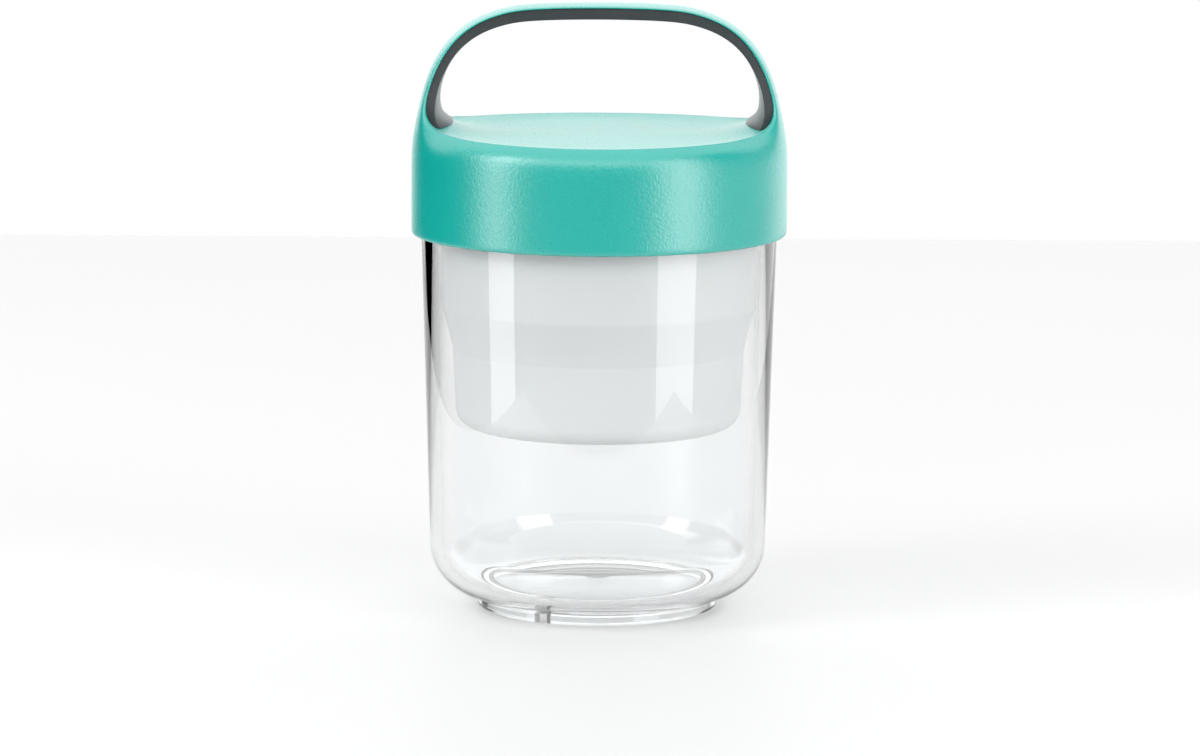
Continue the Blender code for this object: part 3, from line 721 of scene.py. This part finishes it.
def blend(crown_value, side_value, share):
    """A size between its value at the crown and at the side."""
    return crown_value + (side_value - crown_value) * share


def strap_depths(share):
    """How far the strap's outside bulges, and how thick its edges are."""
    side_share = min(1, 2 * share)
    bulge = blend(STRAP_CROWN_BULGE, STRAP_SIDE_BULGE, side_share)
    edge = blend(STRAP_CROWN_EDGE, STRAP_SIDE_EDGE, side_share)
    return bulge, edge + STRAP_FOOT_EDGE * share ** 4


def strap_sections(bm):
    """The strap's cross-sections: four points outside, four inside and one on each edge."""
    sections = []
    for (centre, inward), angle in zip(arch_line(), arch_angles()):
        share = foot_share(angle)
        half_width = blend(STRAP_CROWN_HALF_WIDTH, STRAP_FOOT_HALF_WIDTH, share)
        bulge, edge = strap_depths(share)
        inside = centre + inward * (bulge + edge)
        middle = centre + inward * (bulge + edge / 2)
        edge_reach = Vector((0, half_width + STRAP_SIDE_ROUND, 0))
        points = [centre + inward * bulge * y_share ** 2 + Vector((0, half_width * y_share, 0))
                  for y_share in STRAP_OUTER_SHARES]
        points.append(middle + edge_reach)
        points += [inside + Vector((0, half_width * y_share, 0)) for y_share in STRAP_INNER_SHARES]
        points.append(middle - edge_reach)
        sections.append([bm.verts.new(point) for point in points])
    return sections


def keep_edges(bm, pairs, share):
    """Creases the edges between pairs of points, wherever the cage has one."""
    crease = bm.edges.layers.float.get("crease_edge") or bm.edges.layers.float.new("crease_edge")
    for pair in pairs:
        edge = bm.edges.get(pair)
        if edge:
            edge[crease] = share


def lid_rings():
    """The lid's outer rings as radius, height, saddle share and swoop shares, from the bottom up."""
    shoulder = DECK_TOP - LID_SHOULDER_DROP
    edge_inset = LID_EDGE_ROUND / 2
    rings = [
        (SKIRT_BORE - CUT_OVERRUN, SKIRT_EDGE_HEIGHT, 0, 0, 0),
        (LID_RADIUS - edge_inset, SKIRT_EDGE_HEIGHT, 0, 0, 0),
        (LID_RADIUS, SKIRT_EDGE_HEIGHT + edge_inset, 0, 0, 0),
    ]
    for share in SKIRT_RING_SHARES:
        height = SKIRT_EDGE_HEIGHT + (shoulder - SKIRT_EDGE_HEIGHT) * share
        rings.append((LID_RADIUS, height, 0, 0, 0))
    rings.append((LID_RADIUS - ARCH_INSET, shoulder, 0, 0, 0))
    rings.append((LID_RADIUS - LID_CREST_INSET, DECK_TOP + LID_CREST_HEIGHT, 1, 0, CREST_SWOOP_SHARE))
    swoops = zip(MIDDLE_SWOOP_SHARES, OUTER_SWOOP_SHARES)
    shares = zip(DECK_RING_SHARES, DECK_DISH_SHARES, DECK_SADDLE_SHARES, swoops)
    for radius_share, dish, saddle, (middle, outer) in shares:
        rings.append((LID_RADIUS * radius_share, DECK_TOP + LID_CREST_HEIGHT * dish, saddle, middle, outer))
    return rings


def lid_form(name):
    """The lid's whole outer skin: skirt, deck, and the arch grown from both shoulders, smoothed."""
    bm = bmesh.new()
    step_angle = 2 * math.pi / CAGE_STEPS
    # Smoothing draws a ring of points in by this share, so the cage is made that much wider
    draw_in_share = (2 + math.cos(step_angle)) / 3
    feet = (RIGHT_FOOT_COLUMNS, LEFT_FOOT_COLUMNS)
    middle_columns = [foot[index] for foot in feet for index in (1, 2)]
    outer_columns = [foot[index] for foot in feet for index in (0, 3)]
    patch_columns = [column for column in range(CAGE_STEPS)
                     if any(column in foot and (column + 1) % CAGE_STEPS in foot for foot in feet)]
    rings = []
    for radius, height, saddle, middle, outer in lid_rings():
        ring = []
        for column in range(CAGE_STEPS):
            angle = (column + 0.5) * step_angle
            rise = LID_SADDLE * saddle * math.cos(angle) ** 2
            if column in middle_columns:
                rise += SWOOP_HEIGHT * middle
            if column in outer_columns:
                rise += SWOOP_HEIGHT * outer
            reach = radius / draw_in_share
            ring.append(bm.verts.new((reach * math.cos(angle), reach * math.sin(angle), height + rise)))
        rings.append(ring)

    shoulder_level = SKIRT_EDGE_RINGS + len(SKIRT_RING_SHARES)
    crest_level = shoulder_level + 1
    deck_level = crest_level + 1
    for level in range(len(rings) - 1):
        for column in range(CAGE_STEPS):
            if level in (shoulder_level, crest_level) and column in patch_columns:
                continue
            after = (column + 1) % CAGE_STEPS
            low, high = rings[level], rings[level + 1]
            bm.faces.new((low[column], low[after], high[after], high[column]))
    bm.faces.new(rings[0])
    bm.faces.new(rings[-1])

    crest = [(rings[crest_level][column - 1], rings[crest_level][column]) for column in range(CAGE_STEPS)]
    keep_edges(bm, crest, CREST_CREASE_SHARE)

    ends = []
    for foot in feet:
        outside = [rings[shoulder_level][column] for column in foot]
        inside = [rings[deck_level][column] for column in reversed(foot)]
        ends.append(outside + [rings[crest_level][foot[-1]]] + inside + [rings[crest_level][foot[0]]])
        keep_edges(bm, zip(inside, inside[1:]), FOOT_CREASE_SHARE)
    sections = [ends[0]] + strap_sections(bm) + [ends[1]]
    for here, following in zip(sections, sections[1:]):
        for index in range(len(here)):
            beside = (index + 1) % len(here)
            bm.faces.new((here[index], here[beside], following[beside], following[index]))
    bmesh.ops.delete(bm, geom=[vert for vert in bm.verts if not vert.link_faces], context="VERTS")
    return smoothed(name, bm)


def smoothed(name, bm):
    """A smoothed object from a cage."""
    bmesh.ops.recalc_face_normals(bm, faces=bm.faces)
    mesh = bpy.data.meshes.new(name)
    bm.to_mesh(mesh)
    bm.free()
    piece = new_object(name, mesh)
    smoothing = piece.modifiers.new("smoothing", "SUBSURF")
    smoothing.levels = LID_LEVELS
    smoothing.render_levels = LID_LEVELS
    return settle(piece)


def finish_surface(piece, finish):
    """Smooth shading that keeps real edges, and the piece's finish."""
    piece.data.materials.clear()
    piece.data.materials.append(finish)
    piece.data.polygons.foreach_set("material_index", [0] * len(piece.data.polygons))
    piece.data.shade_smooth()
    piece.data.set_sharp_from_angle(angle=math.radians(SHARP_DEGREES))
    return piece


def lid_hollow_outline():
    """Everything inside the lid: the skirt's bore, the seal's seat between its walls, and the deck."""
    rib_outer = LID_SEAL_INNER - CONTACT_GAP
    rib_inner = rib_outer - SEAL_RIB_WIDTH
    rib_foot = SEAL_SEAT_HEIGHT - SEAL_RIB_DEPTH
    seal_wall = SKIRT_BORE - SEAL_WALL_STEP
    step_foot = rib_foot - SEAL_WALL_STEP
    below = SKIRT_EDGE_HEIGHT - CUT_OVERRUN
    return [
        (0, below),
        (SKIRT_BORE, below),
        (SKIRT_BORE, step_foot),
        (seal_wall, rib_foot),
        (seal_wall, SEAL_SEAT_HEIGHT),
        (rib_outer, SEAL_SEAT_HEIGHT),
        (rib_outer, rib_foot),
        (rib_inner, rib_foot),
        (rib_inner, DECK_UNDERSIDE),
        (0, DECK_UNDERSIDE),
    ]


def make_lid(finish, tree):
    """The lid shell, hollowed from below with its screw thread."""
    outline = with_rows(lid_hollow_outline(), SKIRT_BORE, THREAD_ROW_HEIGHT)
    thread = (SKIRT_BORE, LID_THREAD_START, -LID_THREAD_DEPTH)
    hollow = turned("lid_hollow", outline, finish, tree, thread=thread)
    return finish_surface(cut(lid_form("lid"), hollow), finish)


def grip_stations():
    """The grip's stations as points on the lid's side, at the visible edges and middle, and half width."""
    stations = []
    for (centre, inward), angle in zip(arch_line(), arch_angles()):
        share = foot_share(angle)
        bulge, edge = strap_depths(share)
        thickness = blend(GRIP_CROWN_THICKNESS, GRIP_SIDE_THICKNESS, min(1, 2 * share))
        half_width = blend(STRAP_CROWN_HALF_WIDTH, STRAP_FOOT_HALF_WIDTH, share) - GRIP_EDGE_INSET
        outer = centre + inward * (bulge + edge - GRIP_BITE)
        inner = centre + inward * (bulge + edge + thickness)
        stations.append((outer, inner, inner + inward * GRIP_BULGE * share ** 2, half_width))
    foot = arch_point(ARCH_FIRST_DEGREES)[0]
    half_width = STRAP_FOOT_HALF_WIDTH - GRIP_EDGE_INSET
    right = []
    left = []
    # Each foot turns inwards over the shoulder and dives into the deck, which leaves a thin tongue
    for shares in TONGUE_STATION_SHARES:
        points = []
        for reach, drop in (shares[0:2], shares[2:4], shares[4:6]):
            points.append(foot - Vector((TONGUE_REACH * reach, 0, TONGUE_DROP * drop)))
        right.append((*points, half_width))
        left.insert(0, (*(point * MIRROR for point in points), half_width))
    return right + stations[1:-1] + left


def make_grip(finish):
    """The soft grip, lofted along the arch and cut back by the lid's own form."""
    bm = bmesh.new()
    sections = []
    for outer, edge, middle, half_width in grip_stations():
        points = [outer + Vector((0, half_width * share, 0)) for share in GRIP_OUTER_SHARES]
        for share in GRIP_INNER_SHARES:
            inner = edge if abs(share) == 1 else middle
            points.append(inner + Vector((0, half_width * share, 0)))
        sections.append([bm.verts.new(point) for point in points])
    for here, following in zip(sections, sections[1:]):
        for index in range(len(here)):
            beside = (index + 1) % len(here)
            bm.faces.new((here[index], here[beside], following[beside], following[index]))
        keep_edges(bm, [(here[index], following[index]) for index in GRIP_EDGE_COLUMNS], GRIP_CREASE_SHARE)
    for end in (sections[0], sections[-1]):
        for low in range(len(GRIP_OUTER_SHARES) - 1):
            high = len(end) - 1 - low
            bm.faces.new((end[low], end[low + 1], end[high - 1], end[high]))
    grip = smoothed("grip", bm)
    spacer = lid_form("grip_spacer")
    swell = spacer.modifiers.new("gap", "DISPLACE")
    swell.strength = SEAT_GAP
    swell.mid_level = 0
    return finish_surface(cut(grip, settle(spacer)), finish)


# Stage, light and camera

def aim(thing, target):
    """Turns a light or a camera towards a point."""
    direction = Vector(target) - thing.location
    thing.rotation_euler = direction.to_track_quat("-Z", "Y").to_euler()


def soft_box(name, azimuth, distance, height, width, tall, power):
    """A soft box on a stand. Azimuth 0 is the camera's side and grows to the right."""
    lamp = bpy.data.lights.new(name, "AREA")
    lamp.shape = "RECTANGLE"
    lamp.size = width
    lamp.size_y = tall
    lamp.energy = power
    box = new_object(name, lamp)
    turn = math.radians(azimuth)
    box.location = (distance * math.sin(turn), -distance * math.cos(turn), height)
    aim(box, SOFT_BOX_TARGET)
    box.visible_camera = False


def faded(tree, value, low, high, first, last):
    """A smooth change from one value to another between two limits."""
    node = add_node(tree, "ShaderNodeMapRange", {"interpolation_type": "SMOOTHSTEP"}, Value=value,
                    From_Min=low, From_Max=high, To_Min=first, To_Max=last)
    return node.outputs["Result"]


def studio_card(tree, azimuth, height, middle, half, low, high, strength):
    """The light of one card."""
    off = sum_of(tree, "WRAP", sum_of(tree, "SUBTRACT", azimuth, middle), 180.0, -180.0)
    off = sum_of(tree, "ABSOLUTE", off)
    light = faded(tree, off, half - CARD_SOFT_DEGREES, half + CARD_SOFT_DEGREES, strength, 0.0)
    above = faded(tree, height, low - CARD_SOFT_HEIGHT, low + CARD_SOFT_HEIGHT, 0.0, 1.0)
    below = faded(tree, height, high - CARD_SOFT_HEIGHT, high + CARD_SOFT_HEIGHT, 1.0, 0.0)
    return sum_of(tree, "MULTIPLY", light, sum_of(tree, "MULTIPLY", above, below))


def make_world():
    """A white surround for the camera, and a studio of bright cards on black for the light."""
    world = bpy.data.worlds.new("studio")
    bpy.context.scene.world = world
    world.use_nodes = True
    tree = world.node_tree
    tree.nodes.clear()
    direction = tree.nodes.new("ShaderNodeTexCoord").outputs["Generated"]
    parts = add_node(tree, "ShaderNodeSeparateXYZ", Vector=direction)
    forward = sum_of(tree, "MULTIPLY", parts.outputs["Y"], -1.0)
    azimuth = sum_of(tree, "DEGREES", sum_of(tree, "ARCTAN2", parts.outputs["X"], forward))
    glow = 0.0
    for card in STUDIO_CARDS:
        glow = sum_of(tree, "ADD", glow, studio_card(tree, azimuth, parts.outputs["Z"], *card))
    around = add_node(tree, "ShaderNodeBackground", Color=(1, 1, 1, 1), Strength=glow)
    seen = add_node(tree, "ShaderNodeBackground", Color=(1, 1, 1, 1), Strength=1.0)
    path = tree.nodes.new("ShaderNodeLightPath")
    mix = add_node(tree, "ShaderNodeMixShader", Fac=path.outputs["Is Camera Ray"])
    link(tree, around.outputs[0], mix.inputs[1])
    link(tree, seen.outputs[0], mix.inputs[2])
    result = tree.nodes.new("ShaderNodeOutputWorld")
    link(tree, mix.outputs[0], result.inputs["Surface"])


def make_stage():
    """A white floor, and the soft boxes whose reflections stand in the clear walls."""
    bm = bmesh.new()
    bmesh.ops.create_grid(bm, x_segments=FLOOR_STEPS, y_segments=FLOOR_STEPS, size=0.5)
    bmesh.ops.scale(bm, verts=bm.verts, vec=(FLOOR_WIDTH, FLOOR_LENGTH, 1))
    mesh = bpy.data.meshes.new("floor")
    bm.to_mesh(mesh)
    bm.free()
    floor = new_object("floor", mesh)
    floor.location.y = FLOOR_SHIFT
    finish, tree, shader, place = new_finish("pale_floor")
    cloud = noise(tree, place, FLOOR_CLOUD)
    link(tree, tones(tree, cloud, *FLOOR_TONES), shader.inputs["Base Color"])
    shader.inputs["Roughness"].default_value = 0.5
    shader.inputs["Emission Color"].default_value = (1, 1, 1, 1)
    shader.inputs["Emission Strength"].default_value = FLOOR_GLOW
    mesh.materials.append(finish)
    for settings in SOFT_BOXES:
        soft_box(*settings)


def make_camera():
    """The camera at the photograph's angle."""
    lens = bpy.data.cameras.new("camera")
    lens.lens = CAMERA_LENS
    lens.sensor_width = CAMERA_SENSOR
    camera = new_object("camera", lens)
    camera.location = CAMERA_PLACE
    aim(camera, CAMERA_TARGET)
    camera.rotation_euler.rotate_axis("Z", math.radians(CAMERA_ROLL_DEGREES))
    bpy.context.scene.camera = camera


def stand_for(piece, body, node):
    """The piece rides on a body in place of a node of the model."""
    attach(piece, body)
    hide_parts(node)


def main():
    """Makes every piece, seats it on its body and sets up the studio."""
    tree = turning_tree()
    silicone = silicone_finish()
    milky = milky_finish()
    jar = make_jar(clear_finish(), tree)
    pot = turned("pot", pot_outline(), milky, tree)
    pot_section = seal_outline(POT_RADIUS + CONTACT_GAP, NECK_RADIUS - CONTACT_GAP,
                               JAR_RIM_HEIGHT + CONTACT_GAP, FLANGE_UNDERSIDE - CONTACT_GAP)
    pot_ring = turned("pot_ring", pot_section, silicone, tree, ring=True)
    lid_section = seal_outline(LID_SEAL_INNER, LID_SEAL_OUTER, FLANGE_TOP + CONTACT_GAP,
                               SEAL_SEAT_HEIGHT - CONTACT_GAP)
    lid_ring = turned("lid_ring", lid_section, silicone, tree, ring=True)
    lid = make_lid(teal_finish(), tree)
    grip = make_grip(soft_touch_finish())

    stand_for(jar, "jar", "jar_body")
    stand_for(pot, "pot", "inner_pot")
    stand_for(pot_ring, "pot", "pot_seal")
    stand_for(lid_ring, "seal", "lid_seal")
    stand_for(lid, "lid", "lid_shell")
    stand_for(grip, "lid", "handle_grip")
    make_world()
    make_stage()
    make_camera()
    bpy.context.scene.view_settings.view_transform = "Standard"
    # Light reaches the pot through the clear wall unblurred, so that none of it is lost on the way
    bpy.context.scene.cycles.blur_glossy = 0.0


main()
